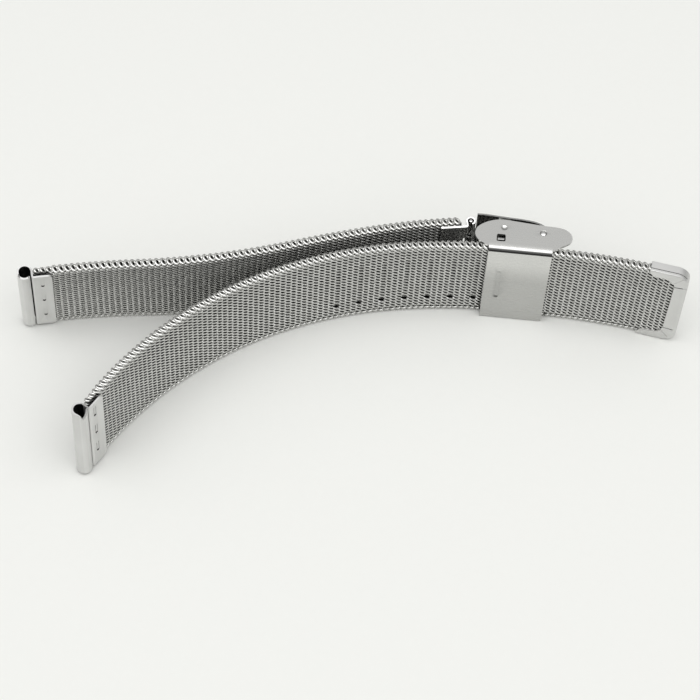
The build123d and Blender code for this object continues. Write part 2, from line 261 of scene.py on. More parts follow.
def wirePiece(name, points, quads, crowns, corePoints, coreQuads):
    # many wires at once, and their inside in painted shade: plain arrays of corners and of four-sided faces
    wires = len(quads)
    quads = np.vstack([quads, coreQuads + len(points)])
    points = np.vstack([points, corePoints])
    crowns = np.r_[crowns, np.zeros(len(corePoints))]
    mesh = bpy.data.meshes.new(name)
    mesh.vertices.add(len(points))
    mesh.vertices.foreach_set("co", points.astype(np.float32).ravel())
    mesh.loops.add(quads.size)
    mesh.loops.foreach_set("vertex_index", quads.astype(np.int32).ravel())
    mesh.polygons.add(len(quads))
    mesh.polygons.foreach_set("loop_start", np.arange(0, quads.size, 4, dtype=np.int32))
    mesh.polygons.foreach_set("use_smooth", np.ones(len(quads), bool))
    mesh.polygons.foreach_set("material_index", (np.arange(len(quads)) >= wires).astype(np.int32))
    mesh.update(calc_edges=True)
    mesh.attributes.new("crown", "FLOAT", "POINT").data.foreach_set("value", crowns.astype(np.float32))
    mesh.validate()
    mesh.materials.append(wireSteel)
    mesh.materials.append(paintedShadeSteel)
    return addObject(name, mesh)


def sweepRings(line, outward, radius, sides):
    # rings of points round a line; outward gives each ring's first direction
    ahead = np.gradient(line, axis=0)
    ahead /= np.linalg.norm(ahead, axis=1)[:, None]
    out = outward - ahead * (outward * ahead).sum(1)[:, None]
    out /= np.linalg.norm(out, axis=1)[:, None]
    side = np.cross(ahead, out)
    turn = np.arange(sides) * 2 * pi / sides
    ring = np.cos(turn)[None, :, None] * out[:, None, :] + np.sin(turn)[None, :, None] * side[:, None, :]
    return line[:, None, :] + ring * radius


def tubeQuads(rings, sides):
    # the four-sided faces between rings, and across the first and the last
    base = np.arange(rings - 1)[:, None] * sides
    side = np.arange(sides)[None, :]
    after = (side + 1) % sides
    body = np.stack([base + side, base + after, base + sides + after, base + sides + side], -1).reshape(-1, 4)
    fan = np.array([(0, 2 * n + 1, 2 * n + 2, (2 * n + 3) % sides) for n in range(sides // 2 - 1)])
    return np.vstack([body, fan[:, ::-1], fan + (rings - 1) * sides])


# how the two halves lie, in mm and degrees: at each hinge line a curve takes the place of the corner
layout = {
    "reach": 6.3,  # from a corner to where its curve starts or ends
    "claspReach": (3.0, 3.6),  # the same next to the clasp, before it and behind it
    "tailReach": 4.7,
    "tailEnd": 9.7,  # from the last corner to the tip
    "tailTurn": 4.5,
    "claspAhead": 8.75,  # from long_bend_1 to the clasp's middle
    "shortLug": (-13.24823, 26.81001),
    "weaveStart": 2.06,  # from a lug's bore
    "longEnd": 1.1,  # how far the weave ends before the line does
    "shortEnd": 2.25,
    "shortFirst": 2.07,  # the middle of the short half's first coil
    # the short half's lean along its length
    "leanAt": ((0, 8.4), (6.3, 8.4), (18.9, 7.8), (31.5, 6.3), (44.1, 4.4), (56.7, 2.4), (69.3, 0.4),
               (75.6, 0.0)),
    "curvePoints": 25,
    "lineStep": 0.1,
    "smoothOver": 13,  # steps
}


class StrapLine:
    # a strap's middle line seen from above: straight runs joined by curves
    def __init__(self, corners, reaches, lean=((0, 0), (1, 0))):
        self.corners = [np.array(corner, float) for corner in corners]
        self.starts = []
        self.ends = []
        self.lean = lean
        points = [self.corners[0]]
        share = np.linspace(0, 1, layout["curvePoints"])[:, None]
        for n, (left, right) in enumerate(reaches, 1):
            corner = self.corners[n]
            before = corner - self.corners[n - 1]
            after = self.corners[n + 1] - corner
            start = corner - before / np.linalg.norm(before) * left
            end = corner + after / np.linalg.norm(after) * right
            self.starts.append(start)
            self.ends.append(end)
            points.extend(start * (1 - share) ** 2 + 2 * corner * share * (1 - share) + end * share ** 2)
        points = np.array(points + [self.corners[-1]])
        apart = np.linalg.norm(np.diff(points, axis=0), axis=1) > tiny
        points = points[np.r_[True, apart]]
        length = np.r_[0, np.cumsum(np.linalg.norm(np.diff(points, axis=0), axis=1))]
        self.total = length[-1]
        self.at = np.arange(0, self.total, layout["lineStep"])
        self.x = np.interp(self.at, length, points[:, 0])
        self.y = np.interp(self.at, length, points[:, 1])
        heading = np.unwrap(np.arctan2(np.gradient(self.y), np.gradient(self.x)))
        over = layout["smoothOver"]
        self.heading = np.convolve(np.pad(heading, over // 2, mode="edge"), np.ones(over) / over, "valid")

    def nearest(self, point):
        return self.at[np.argmin((self.x - point[0]) ** 2 + (self.y - point[1]) ** 2)]

    def frameAt(self, s):
        x, y = np.interp(s, self.at, self.x), np.interp(s, self.at, self.y)
        heading = np.interp(s, self.at, self.heading)
        lean = np.radians(np.interp(s, *zip(*self.lean)))
        zero = np.zeros_like(heading)
        ahead = np.stack([np.cos(heading), np.sin(heading), zero], -1)
        flat = np.stack([-np.sin(heading), np.cos(heading), zero], -1)
        up = -flat * np.sin(lean)[:, None]
        up[:, 2] += np.cos(lean)
        far = flat * np.cos(lean)[:, None]
        far[:, 2] += np.sin(lean)
        return np.stack([x, y, zero], -1), ahead, far, up

    def place(self, s, y, z):
        # points at a length along the strap, a depth to the far side and a height, in mm
        middle, ahead, far, up = self.frameAt(s)
        return middle + far * y[:, None] + up * z[:, None]


def jointPoint(name):
    return np.array(joints[name]["pos_m"][:2]) / mm


tailAhead = jointPoint("tail_bend_2") - jointPoint("tail_bend_1")
tailTurn = atan2(tailAhead[1], tailAhead[0]) - radians(layout["tailTurn"])
tailTip = jointPoint("tail_bend_2") + layout["tailEnd"] * np.array((cos(tailTurn), sin(tailTurn)))
longNames = [f"long_bend_{n}" for n in range(6, 0, -1)] + ["tail_bend_1", "tail_bend_2"]
longNodes = [f"mesh_long_{n}" for n in range(6, 0, -1)] + ["mesh_clasp", "mesh_tail_1", "mesh_tail_2"]
evenReach = (layout["reach"], layout["reach"])
longReaches = [evenReach] * 5 + [
    (layout["reach"], layout["claspReach"][0]),
    (layout["claspReach"][1], layout["tailReach"]),
    (layout["tailReach"], layout["tailReach"]),
]
longLine = StrapLine([(0, 0)] + [jointPoint(name) for name in longNames] + [tailTip], longReaches)

shortNames = [f"short_bend_{n}" for n in range(5, 0, -1)]
shortNodes = [f"mesh_short_{n}" for n in range(6, 0, -1)]
shortCorners = [jointPoint(name) for name in shortNames + ["short_end_hinge"]]
shortLine = StrapLine([layout["shortLug"]] + shortCorners, [evenReach] * 5, layout["leanAt"])
claspMiddle = jointPoint("long_bend_1") + (layout["claspAhead"], 0)
claspAt = longLine.nearest(claspMiddle)
print("laid out: long line %.2f mm, clasp at %.2f mm, short line %.2f mm"
      % (longLine.total, claspAt, shortLine.total))


# the woven mesh: flattened coils across the strap side by side, in mm
weave = {
    "coilStep": 1.0,
    "firstCoil": 0.15,
    "turnStep": 0.8,
    "reach": 0.72,  # half of a coil's width along the strap
    "depth": 0.70,  # half of its thickness, to the wire's middle
    "squash": 1.5,
    "slant": 0.115,
    "wireRadius": 0.187,
    "crown": 0.835,
    "worn": 0.75,  # the depth where a wire turns from painted shade to its own colour, at a coil's middle
    "wornSpan": 0.08,
    "wornAside": 0.10,  # how much nearer the middle that is where two coils lie together
    "asideFrom": 0.15,
    "asideSpan": 0.25,
    "stepsPerTurn": 12,
    "sides": 8,
    "top": 8.45,
    "endFrom": 8.1,  # above this height a coil is left almost free of painted shade
    "endSpan": 0.3,
    "endBright": 0.85,
}
# one turn of wire at each end of a coil
edgeRing = {
    "reach": 0.41,
    "depth": 0.62,
    "level": 8.80,
    "radius": 0.235,
    "tilt": 0.12,
    "skew": 0.15,
    "start": -50,
    "drop": 0.4,
    "dropFrom": 0.8,  # the share of the turn where its tail starts down
    # where painted shade on the ring's lower side starts, and over how much it fades
    "darkBelow": 0.6,
    "darkSpan": 0.2,
    "steps": 17,
    "sides": 8,
}
# the adjusting slots: a fine line pressed across the near side, and an eye at its foot, both darkened with
# painted shade
slots = {
    "first": 2.85,
    "pitch": 4.0,
    "count": 8,
    "top": 5.3,
    "foot": -5.65,
    "soft": 0.12,
    "face": 0.5,
    "reach": 1.2,
    "depth": 0.12,
    "width": 0.24,
    "shade": 0.25,
    "part": 0.06,
    "partAt": 0.3,
    "partWidth": 0.25,
    "push": 0.38,
    "pushWidth": 0.36,
    "eyeRadius": 0.39,
    "eyeDepth": 0.4,
}
# under a lug end's plate the mesh is pressed thinner and painted with shade on its near face
underLug = {
    "end": 4.5,
    "span": 0.7,
    "press": 0.25,
    "shade": 0.85,
    "face": -0.3,
}
# a thin slab in painted shade between the two faces, so that light doesn't come through the wires
core = {
    "half": 0.30,
    "inset": 0.15,
    "step": 0.5,
}


def rise(value, start, span):
    # 0 up to start, and 1 from a span beyond it
    return np.clip((value - start) / span, 0, 1)


def coilShape():
    turns = 2 * weave["top"] / weave["turnStep"]
    steps = int(turns * weave["stepsPerTurn"])
    turn = np.linspace(-turns * pi, turns * pi, steps + 1)
    x = weave["reach"] * np.cos(turn)
    y = -weave["depth"] * np.tanh(weave["squash"] * np.sin(turn)) / np.tanh(weave["squash"])
    z = weave["turnStep"] * turn / (2 * pi) - weave["slant"] * np.sin(2 * turn)
    line = np.stack([x, y, z], -1)
    outward = np.stack([x, y, np.zeros_like(x)], -1)
    rings = sweepRings(line, outward, weave["wireRadius"], weave["sides"])
    rings[..., 1] = np.clip(rings[..., 1], -weave["crown"], weave["crown"])
    points = rings.reshape(-1, 3)
    # painted shade: the crown value falls where a wire lies deep in the weave
    aside, depth, height = np.abs(points).T
    level = weave["worn"] - weave["wornAside"] * rise(aside, weave["asideFrom"], weave["asideSpan"])
    crowns = rise(depth, level - weave["wornSpan"] / 2, weave["wornSpan"])
    ends = weave["endBright"] * rise(height, weave["endFrom"], weave["endSpan"])
    return points, tubeQuads(len(line), weave["sides"]), np.maximum(crowns, ends)


def ringShape(side):
    # the end of a coil, lying over the edge, its tail dropped into the mesh
    share = np.linspace(0, 1, edgeRing["steps"])
    turn = radians(edgeRing["start"]) + share * 2 * pi
    x = edgeRing["reach"] * np.cos(turn) + edgeRing["skew"] * np.sin(turn)
    y = -edgeRing["depth"] * np.sin(turn)
    dropped = rise(share, edgeRing["dropFrom"], 1 - edgeRing["dropFrom"]) ** 2
    z = edgeRing["level"] - edgeRing["tilt"] * np.cos(turn) - edgeRing["drop"] * dropped
    line = np.stack([x, y, side * z], -1)
    outward = np.tile((0.0, 0.0, float(side)), (len(line), 1))
    points = sweepRings(line, outward, edgeRing["radius"], edgeRing["sides"]).reshape(-1, 3)
    # painted shade on the ring's lower side
    crowns = rise(np.abs(points[:, 2]), edgeRing["level"] - edgeRing["darkBelow"], edgeRing["darkSpan"])
    return points, tubeQuads(len(line), edgeRing["sides"]), crowns


def pressSlots(s, y, z, crowns):
    # the wires part a little along each slot, and round its eye; painted shade darkens the slot's line and
    # fills its eye
    near = np.clip(-y / slots["face"], 0, 1)
    for n in range(slots["count"]):
        away = s - (claspAt - slots["first"] - slots["pitch"] * n)
        if np.abs(away).min() >= slots["reach"]:
            continue
        belowTop = 1 / (1 + np.exp((z - slots["top"]) / slots["soft"]))
        within = belowTop / (1 + np.exp((slots["foot"] - z) / slots["soft"]))
        dip = np.exp(-(away / slots["width"]) ** 2) * within * near
        y = y + slots["depth"] * dip
        # painted shade along the slot's line
        crowns = crowns * (1 - slots["shade"] * dip)
        beside = np.exp(-((np.abs(away) - slots["partAt"]) / slots["partWidth"]) ** 2)
        s = s + np.sign(away) * slots["part"] * beside * within * near
        drop = z - slots["foot"]
        gap = np.sqrt(away ** 2 + drop ** 2) + tiny
        push = slots["push"] * np.exp(-(gap / slots["pushWidth"]) ** 2)
        hole = np.exp(-(gap / slots["eyeRadius"]) ** 6) * near
        # painted shade: the eye is left black
        crowns = crowns * (1 - hole)
        y = y + slots["eyeDepth"] * hole
        s = s + push * away / gap
        z = z + push * drop / gap
    return s, y, z, crowns


def coreShape(line, start, end):
    s = np.linspace(start, end, int((end - start) / core["step"]) + 2)
    half, top = core["half"], weave["top"] - core["inset"]
    corners = ((-half, -top), (half, -top), (half, top), (-half, top))
    rings = [line.place(s, np.full(len(s), y), np.full(len(s), z)) for y, z in corners]
    return np.stack(rings, 1).reshape(-1, 3) * mm, tubeQuads(len(s), len(corners))


def weavePiece(name, line, start, end, firstCoil, withSlots):
    parts = [coilShape(), ringShape(1), ringShape(-1)]
    step = weave["coilStep"]
    first, last = [int(np.ceil((limit - firstCoil) / step - tiny)) for limit in (start, end)]
    allPoints, allQuads, allCrowns = [], [], []
    count = 0
    for n in range(first, last):
        middle = firstCoil + n * step
        for points, quads, crowns in parts:
            s, y, z = points[:, 0] + middle, points[:, 1], points[:, 2]
            if withSlots:
                s, y, z, crowns = pressSlots(s, y, z, crowns)
            under = np.clip((underLug["end"] - s) / underLug["span"], 0, 1)
            y = y * (1 - underLug["press"] * under)
            # painted shade on the near face under a lug end's plate
            crowns = crowns * (1 - underLug["shade"] * under * (y < underLug["face"]))
            allPoints.append(line.place(s, y, z))
            allCrowns.append(crowns)
            allQuads.append(quads + count)
            count += len(points)
    coreStart, coreEnd = [firstCoil + (n - 0.5) * step for n in (first, last)]
    return wirePiece(name, np.vstack(allPoints) * mm, np.vstack(allQuads), np.hstack(allCrowns),
                     *coreShape(line, coreStart, coreEnd))


def weaveStrap(label, line, nodes, end, firstCoil, withSlots):
    # one piece for each hinge line, cut halfway between them
    cuts = [layout["weaveStart"]]
    for n in range(1, len(line.corners) - 2):
        cuts.append(line.nearest((line.corners[n] + line.corners[n + 1]) / 2))
    cuts.append(end)
    for n in range(len(cuts) - 1):
        piece = weavePiece(f"{label}Weave{n + 1}", line, cuts[n], cuts[n + 1], firstCoil, withSlots)
        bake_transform(piece)
        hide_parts(nodes[n], nodes[n + 1])
        print(piece.name, len(piece.data.polygons), "faces")


weaveStrap("long", longLine, longNodes, longLine.total - layout["longEnd"],
           claspAt + weave["firstCoil"], True)
weaveStrap("short", shortLine, shortNodes, shortLine.total - layout["shortEnd"],
           layout["shortFirst"], False)
print("mesh woven")


# sheet metal, drawn in mm in a frame of its own and set in place at the end
def arc(middle, radius, start, end, steps=10):
    turns = [radians(start + (end - start) * n / steps) for n in range(steps + 1)]
    return [(middle[0] + radius * cos(turn), middle[1] + radius * sin(turn)) for turn in turns]


def box(left, right, low, high):
    return [(left, low), (right, low), (right, high), (left, high)]


def roundBox(left, right, low, high, radius):
    return (arc((right - radius, high - radius), radius, 0, 90)
            + arc((left + radius, high - radius), radius, 90, 180)
            + arc((left + radius, low + radius), radius, 180, 270)
            + arc((right - radius, low + radius), radius, 270, 360))


def throughPoints(points, steps=6):
    # a smooth line through its points
    line = np.array([points[0], *points, points[-1]], float)
    made = []
    for n in range(1, len(line) - 2):
        a, b, c, d = line[n - 1:n + 3]
        for share in np.arange(steps) / steps:
            made.append(0.5 * (2 * b + (c - a) * share + (2 * a - 5 * b + 4 * c - d) * share ** 2
                               + (3 * b - a - 3 * c + d) * share ** 3))
    return [tuple(p) for p in made] + [tuple(line[-1])]


def alongside(line, gap):
    # a line beside another, to its left
    line = np.array(line, float)
    ahead = np.gradient(line, axis=0)
    ahead /= np.linalg.norm(ahead, axis=1)[:, None]
    return [tuple(p) for p in line + np.stack([-ahead[:, 1], ahead[:, 0]], 1) * gap]


def bentSheet(line, thickness):
    # the outline of a sheet, from the line through its middle
    return alongside(line, thickness / 2) + alongside(line, -thickness / 2)[::-1]


def faceOutward(mesh):
    shape = bmesh.new()
    shape.from_mesh(mesh)
    bmesh.ops.recalc_face_normals(shape, faces=shape.faces)
    shape.to_mesh(mesh)
    shape.free()


def slab(outline, low, high, axes="xyz"):
    # a solid of one outline between two levels; axes says where its two directions and its level go
    count = len(outline)
    points = np.zeros((2 * count, 3))
    points[:, ["xyz".index(a) for a in axes]] = [(*p, low) for p in outline] + [(*p, high) for p in outline]
    faces = [tuple(range(count)), tuple(range(count, 2 * count))]
    faces += [(n, (n + 1) % count, count + (n + 1) % count, count + n) for n in range(count)]
    piece = newPiece("solid", points, faces, satinSteel)
    faceOutward(piece.data)
    return piece


def turned(profile, middle=(0, 0), steps=40):
    # a solid turned about the z direction, from (radius, level) pairs that start and end on the axis
    points, faces = [(*middle, profile[0][1])], []
    for radius, level in profile[1:-1]:
        for n in range(steps):
            turn = 2 * pi * n / steps
            points.append((middle[0] + radius * cos(turn), middle[1] + radius * sin(turn), level))
    points.append((*middle, profile[-1][1]))
    rings = len(profile) - 2
    for n in range(steps):
        after = (n + 1) % steps
        faces.append((0, 1 + after, 1 + n))
        for k in range(rings - 1):
            base = 1 + k * steps
            faces.append((base + n, base + after, base + steps + after, base + steps + n))
        base = 1 + (rings - 1) * steps
        faces.append((base + n, base + after, len(points) - 1))
    piece = newPiece("solid", points, faces, satinSteel)
    faceOutward(piece.data)
    return piece


def domedPin(radius, top, dome):
    # the profile of a pin with two domed ends; dome gives shares of its radius, and heights
    return ([(share * radius, top + height) for share, height in dome]
            + [(share * radius, -top - height) for share, height in reversed(dome)])


def settle(piece):
    made = bpy.data.meshes.new_from_object(piece.evaluated_get(bpy.context.evaluated_depsgraph_get()))
    piece.modifiers.clear()
    piece.data = made


def combine(piece, other, how="DIFFERENCE"):
    change = piece.modifiers.new("change", "BOOLEAN")
    change.operation = how
    change.solver = "EXACT"
    change.object = other
    settle(piece)
    bpy.data.objects.remove(other)


def roundEdges(piece, width, segments=2, angle=30):
    edge = piece.modifiers.new("edge", "BEVEL")
    edge.width = width
    edge.segments = segments
    edge.limit_method = "ANGLE"
    edge.angle_limit = radians(angle)
    edge.use_clamp_overlap = True
    settle(piece)


def finishSheet(piece, name, place, finish, body, node, inPaintedShade=None, sharpAngle=22):
    piece.data.polygons.foreach_set("use_smooth", [True] * len(piece.data.polygons))
    piece.data.set_sharp_from_angle(angle=radians(sharpAngle))
    flat = piece.modifiers.new("flat", "WEIGHTED_NORMAL")
    flat.keep_sharp = True
    settle(piece)
    piece.data.materials.clear()
    piece.data.materials.append(finish)
    if inPaintedShade:
        # painted shade on hollows that no light reaches
        piece.data.materials.append(paintedShadeSteel)
        for face in piece.data.polygons:
            face.material_index = int(inPaintedShade(face.center))
    piece.data.transform(Matrix.Scale(mm, 4) @ place)
    piece.name = piece.data.name = name
    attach(piece, body)
    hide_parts(node)
    print(name, len(piece.data.polygons), "faces")


def strapPlace(line, s):
    # the frame at a length along a strap: ahead, to the far side, up
    middle, ahead, far, up = [row[0] for row in line.frameAt(np.array([s]))]
    return placeMatrix(ahead, far, up, middle)


def endPlace(line, inset=0.01):
    return strapPlace(line, line.total - inset) @ Matrix.Translation((inset, 0, 0))


claspPlace = Matrix.Translation((*claspMiddle, 0))

# the clasp's slide: a U of sheet with an oval ear over each edge of the mesh
slide = {
    "half": 5.35,
    "front": 1.2,
    "earInner": 9.2,
    "sheet": 0.35,
    "leg": 0.4,
    "lap": 0.1,
    "bend": 0.45,
    "bendDeep": 1.6,  # outside, along the strap's thickness
    "bendTall": 0.63,
    "footBend": 0.35,
    "cornerCut": 0.1,
    "footOut": 0.6,  # how much farther out the front plate stands at its foot
    "outFrom": 0.3,
    "outSpan": 0.5,
    "outTall": 18.1,
    "earLine": ((-5.35, 0.4), (-5.35, -0.3), (-5.62, -0.36), (-6.24, -0.02), (-7.02, 0.47), (-7.62, 1.21),
                (-7.82, 2.2), (-7.38, 3.33), (-6.1, 4.36), (-4.46, 5.03), (-2.8, 5.19), (-0.32, 5.0),
                (3.4, 4.7), (5.9, 4.6), (7.3, 4.3), (8.3, 3.5), (8.6, 2.5), (8.29, 1.6), (7.56, 1.03),
                (6.83, 0.6), (6.2, 0.05), (5.68, -0.35), (5.35, -0.3), (5.35, 0.4)),
    "rounding": 0.045,
    "beyond": 0.2,  # how far outside the sheet a cut starts
    "window": (-4.15, -2.65, 0.66, 2.14),
    "windowRound": 0.22,
    "dent": (-2.97, 3.52),
    "dentBall": 0.9,
    "dentDepth": 0.17,
    "pivot": (3.67, 3.15),
    "pivotRadius": 0.5,
    "pivotGap": 0.02,
    "pivotDome": ((0, 0.06), (0.4, 0.05), (0.75, 0.0), (0.95, -0.07), (1, -0.16)),
    "flare": ((-0.1, 0.5), (0.1, 0.74)),  # heights over the ear, and radii
    "barMiddle": -3.05,
    "barWide": 0.4,
    "barHalf": 3.6,
    "barRound": 0.39,
    "barLine": 0.13,
    "barDepth": 0.07,
    "mouthSide": 0.1,
    "mouthHeights": (0.05, 0.42),
    "mouthDepth": 0.3,
}


def makeSlide(look):
    inner = look["earInner"]
    outer = inner + look["sheet"]
    back = look["front"] - look["sheet"]
    leg, cut, beyond = look["leg"], look["cornerCut"], look["beyond"]
    # the U's outline, down its inner side and up its outer one
    profile = [(leg, inner)] + arc((look["bend"] - back, inner - look["bend"]), look["bend"], 90, 180, 12)
    profile += [(-back, cut - inner), (cut - back, -inner), (leg, -inner), (leg, -outer)]
    foot = look["footBend"]
    profile += arc((foot - look["front"], foot - outer), foot, 270, 180, 8)
    deep, tall = look["bendDeep"], look["bendTall"]
    bend = arc((0, 0), 1, 180, 90, 20)
    profile += [(deep - look["front"] + deep * y, outer - tall + tall * z) for y, z in bend]
    profile += [(leg + look["lap"], outer)]
    body = slab(profile, -look["half"], look["half"], "yzx")
    ear = throughPoints(look["earLine"])
    for low in (inner, -outer):
        combine(body, slab(ear, low, low + look["sheet"]), "UNION")
    cuts = {side: sorted((side * (inner - beyond), side * (outer + beyond))) for side in (1, -1)}
    for low, high in cuts.values():
        combine(body, slab(roundBox(*look["window"], look["windowRound"]), low, high))
    roundEdges(body, look["rounding"])
    for side, (low, high) in cuts.items():
        centre = side * (outer + look["dentBall"] - look["dentDepth"])
        combine(body, turned(arc((0, centre), look["dentBall"], 90, -90, 20), look["dent"]))
        radius = look["pivotRadius"] + look["pivotGap"]
        combine(body, turned([(0, low), (radius, low), (radius, high), (0, high)], look["pivot"]))
        flare = sorted((side * (outer + height), radius) for height, radius in look["flare"])
        flare = [(0, flare[0][0])] + [(radius, level) for level, radius in flare] + [(0, flare[1][0])]
        combine(body, turned(flare, look["pivot"]))
    # the bar pressed in the front plate: a fine line round it, and a mouth at its foot
    left, right = look["barMiddle"] - look["barWide"], look["barMiddle"] + look["barWide"]
    line, half, face = look["barLine"], look["barHalf"], -look["front"]
    outside = roundBox(left, right, -half, half, look["barRound"])
    inside = roundBox(left + line, right - line, line - half, half - line, look["barRound"] - line)
    ring = slab(outside, face - beyond, face + look["barDepth"], "xzy")
    combine(ring, slab(inside, face - 2 * beyond, 0, "xzy"))
    combine(body, ring)
    side = look["mouthSide"]
    mouth = roundBox(left + side, right - side, *[height - half for height in look["mouthHeights"]], side)
    combine(body, slab(mouth, face - beyond, face + look["mouthDepth"], "xzy"))
    for vertex in body.data.vertices:
        out = rise(-vertex.co.y, look["outFrom"], look["outSpan"])
        vertex.co.y -= look["footOut"] * out * rise(-vertex.co.z, look["bendTall"] - outer, look["outTall"])
    finishSheet(body, "slideSheet", claspPlace, satinSteel, "slide", "slide_body")


def makePivot(look):
    profile = domedPin(look["pivotRadius"], look["earInner"] + look["sheet"], look["pivotDome"])
    pin = turned(profile, look["pivot"])
    finishSheet(pin, "pivotRivet", claspPlace, pinSteel, "slide", "blade_pivot_pin")


makeSlide(slide)
makePivot(slide)

# a lug end: one sheet pressed on the mesh's near face and rolled round the far side into a tube
lugEnd = {
    "roll": 1.15,  # to the middle of the sheet
    "sheet": 0.32,
    "half": 9.0,
    "plateEnd": 4.4,
    "plateMiddle": 3.0,
    "plateLevel": 1.06,
    "bend": 0.22,
    "plateHalf": 8.78,
    "plateRound": 0.7,
    "rimGap": 0.02,
    "rimRun": 0.35,
    "rimRise": 0.12,
    "beyond": 1.0,
    "through": 3.0,
    "notchLevel": -0.3,
    "rounding": 0.04,
    "lances": (6.5, 1.25, -4.2),
    "lanceHalf": 1.3,
    "lanceTop": 0.2,
    "lanceWidth": 0.46,
    "lanceLine": 0.065,  # half of its width
    "lanceRound": 0.055,
    "lanceDepth": 0.12,
    "outside": 0.3,
    "mouth": 0.46,
    "mouthRound": 0.18,
    "darkGap": 0.02,  # how far the painted shade reaches round a mouth, and inside the tube
    "boreGap": 0.03,
    "boreEnd": 0.1,
}
longLug = {
    **lugEnd,
    "notch": ((-0.95, 9.4), (-0.95, 9.0), (-0.85, 8.5), (-0.6, 7.5), (0.75, 8.85), (0.78, 9.4)),
    "rollEnd": 314,
    "lanceAt": 2.3,
}
shortLug = {
    **lugEnd,
    "notch": ((-1.1, 9.4), (-1.1, 8.95), (-0.8, 8.62), (0.5, 8.72), (0.7, 9.0), (0.7, 9.4)),
    "rollEnd": 308,
    "lanceAt": 2.75,
}


def makeLug(look, name, line, body, node):
    roll, level, bend, sheet = look["roll"], look["plateLevel"], look["bend"], look["sheet"]
    path = [(look["plateEnd"], -level), (look["plateMiddle"], -level)]
    path += arc((roll + bend, bend - level), bend, 270, 180, 5)
    path += arc((0, 0), roll, 0, look["rollEnd"], 60)
    lug = slab(bentSheet(path, sheet), -look["half"], look["half"])
    start, end, half = roll - sheet / 2 - look["rimGap"], look["plateEnd"], look["plateHalf"]
    wide, top, through = look["plateRound"], look["half"] + look["beyond"], look["through"]
    for side in (1, -1):
        # the plate stands a little lower than the tube, with its free corners rounded
        rim = [(start, top), (start, half + look["rimRise"]), (start + look["rimRun"], half)]
        rim += arc((end - wide, half - wide), wide, 90, 0, 8)
        rim += [(end + look["beyond"], half - wide), (end + look["beyond"], top)]
        combine(lug, slab([(x, side * z) for x, z in rim], -through, through, "xzy"))
    combine(lug, slab(look["notch"], -through, look["notchLevel"], "xzy"))
    roundEdges(lug, look["rounding"])
    # three tabs lanced in the plate: two fine lines and a mouth each
    face, depth, fine = -level - sheet / 2, look["lanceDepth"], look["lanceLine"]
    left, right = look["lanceAt"] - look["lanceWidth"] / 2, look["lanceAt"] + look["lanceWidth"] / 2
    for middle in look["lances"]:
        low, high = middle - look["lanceHalf"], middle + look["lanceHalf"]
        for edge in (left, right):
            slit = roundBox(edge - fine, edge + fine, low + look["lanceTop"], high, look["lanceRound"])
            combine(lug, slab(slit, face - look["outside"], face + depth, "xzy"))
        mouth = roundBox(left, right, low, low + look["mouth"], look["mouthRound"])
        combine(lug, slab(mouth, face - look["outside"], face + 2 * depth, "xzy"))
    mouths = [middle - look["lanceHalf"] + look["mouth"] / 2 for middle in look["lances"]]
    gap = look["darkGap"]

    # painted shade in the tube's bore and in each tab's mouth
    def inPaintedShade(spot):
        inBore = hypot(spot.x, spot.y) < roll - sheet / 2 + look["boreGap"]
        if inBore and abs(spot.z) < look["half"] - look["boreEnd"]:
            return True
        inMouth = min(abs(spot.z - middle) for middle in mouths) < look["mouth"] / 2 + gap
        return inMouth and left - gap < spot.x < right + gap and gap < spot.y - face < 2 * depth + gap

    finishSheet(lug, name, strapPlace(line, 0.0), clothSteel, body, node, inPaintedShade)


makeLug(longLug, "lugRollLong", longLine, "long_6", "lug_end_long")
makeLug(shortLug, "lugRollShort", shortLine, "short_6", "lug_end_short")

# the tail's cap, crimped on the mesh: a plate on the far side, walls and folded flaps on the near side
tip = {
    "long": 6.8,
    "half": 9.36,
    "round": 2.3,
    "near": 1.08,
    "far": 0.98,
    "sheet": 0.3,
    "fold": 0.15,
    "foldSegments": 4,
    "foldAngle": 40,
    "rounding": 0.03,
    "outside": 0.5,
    "through": 0.2,
    "window": ((-8.0, 8.8), (-6.8, 8.8), (-6.55, 8.45), (-6.1, 7.95), (-5.0, 7.84), (-3.8, 7.92), (-3.2, 7.5),
               (-2.5, 6.95), (-2.22, 6.3), (-2.3, 0.4), (-2.42, -5.6), (-2.62, -6.9), (-3.7, -7.75),
               (-5.2, -7.84), (-6.2, -8.0), (-6.7, -8.7), (-8.0, -8.8)),
    # from, to and how wide
    "slits": (((-2.6, 6.02), (-0.75, 6.2), 0.22),
              ((-0.8, 6.2), (-0.1, 6.26), 0.08),
              ((-2.8, -5.86), (-0.62, -6.12), 0.2)),
    "mitres": (((-2.7, 6.7), (-0.86, 8.86)), ((-2.85, -6.65), (-1.2, -8.45))),
    "mitreWidth": 0.07,
    "mitreDepth": 0.07,
    "creaseLevel": -0.5,
    "creaseWidth": 0.13,
    "creaseDepth": 0.15,
    "creaseEnd": 35,
    "creaseGap": 0.002,
}


def capOutline(look, back, inset):
    half, wide = look["half"], look["round"]
    outline = [(-back, half - inset)] + arc((-wide, half - wide), wide - inset, 90, 0, 16)
    outline += [(x, -z) for x, z in arc((-wide, half - wide), wide - inset, 0, 90, 16)]
    return outline + [(-back, inset - half)]


